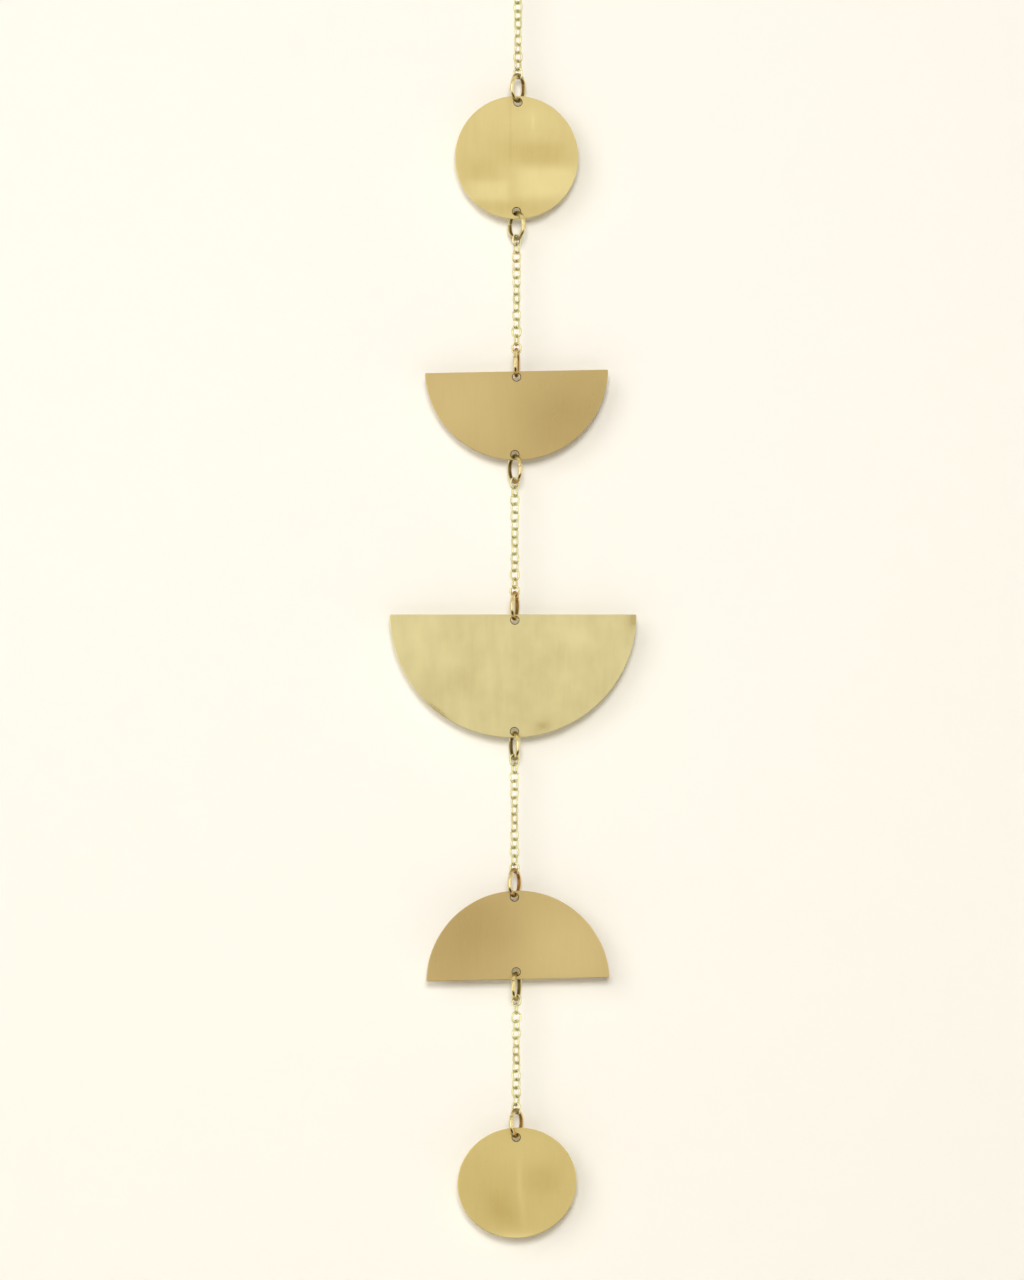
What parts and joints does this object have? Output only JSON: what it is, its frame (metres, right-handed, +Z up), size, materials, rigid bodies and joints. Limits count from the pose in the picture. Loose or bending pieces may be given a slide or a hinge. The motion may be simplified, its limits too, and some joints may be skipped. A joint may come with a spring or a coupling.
{
  "type": "moon phase wall hanging",
  "caption": "Vertical strand of sheet brass moons, full, half, large half, half and full, joined by jump rings and cable chain and hung on a nail by a plain ring.",
  "frame": {"origin": "where the nail bears, at the inner top of the hanging ring", "axes": "+Z up along the strand, +X to the right seen from the front, +Y towards the wall, so the front faces -Y"},
  "size_m": [0.0762, 0.0094, 0.4048],
  "materials": {
    "moon_brass": "satin",
    "ring_brass": "polished",
    "chain_brass": "satin"
  },
  "bodies": {
    "root": {"hanging_ring": "ring_brass", "hanging_chain": "chain_brass", "ring_above_upper_full_moon": "ring_brass", "upper_full_moon": "moon_brass", "ring_below_upper_full_moon": "ring_brass", "chain_to_upper_half_moon": "chain_brass", "ring_above_upper_half_moon": "ring_brass", "upper_half_moon": "moon_brass", "ring_below_upper_half_moon": "ring_brass", "chain_to_large_half_moon": "chain_brass", "ring_above_large_half_moon": "ring_brass", "large_half_moon": "moon_brass", "ring_below_large_half_moon": "ring_brass", "chain_to_lower_half_moon": "chain_brass", "ring_above_lower_half_moon": "ring_brass", "lower_half_moon": "moon_brass", "ring_below_lower_half_moon": "ring_brass", "chain_to_lower_full_moon": "chain_brass", "ring_above_lower_full_moon": "ring_brass", "lower_full_moon": "moon_brass"}
  },
  "joints": []
}
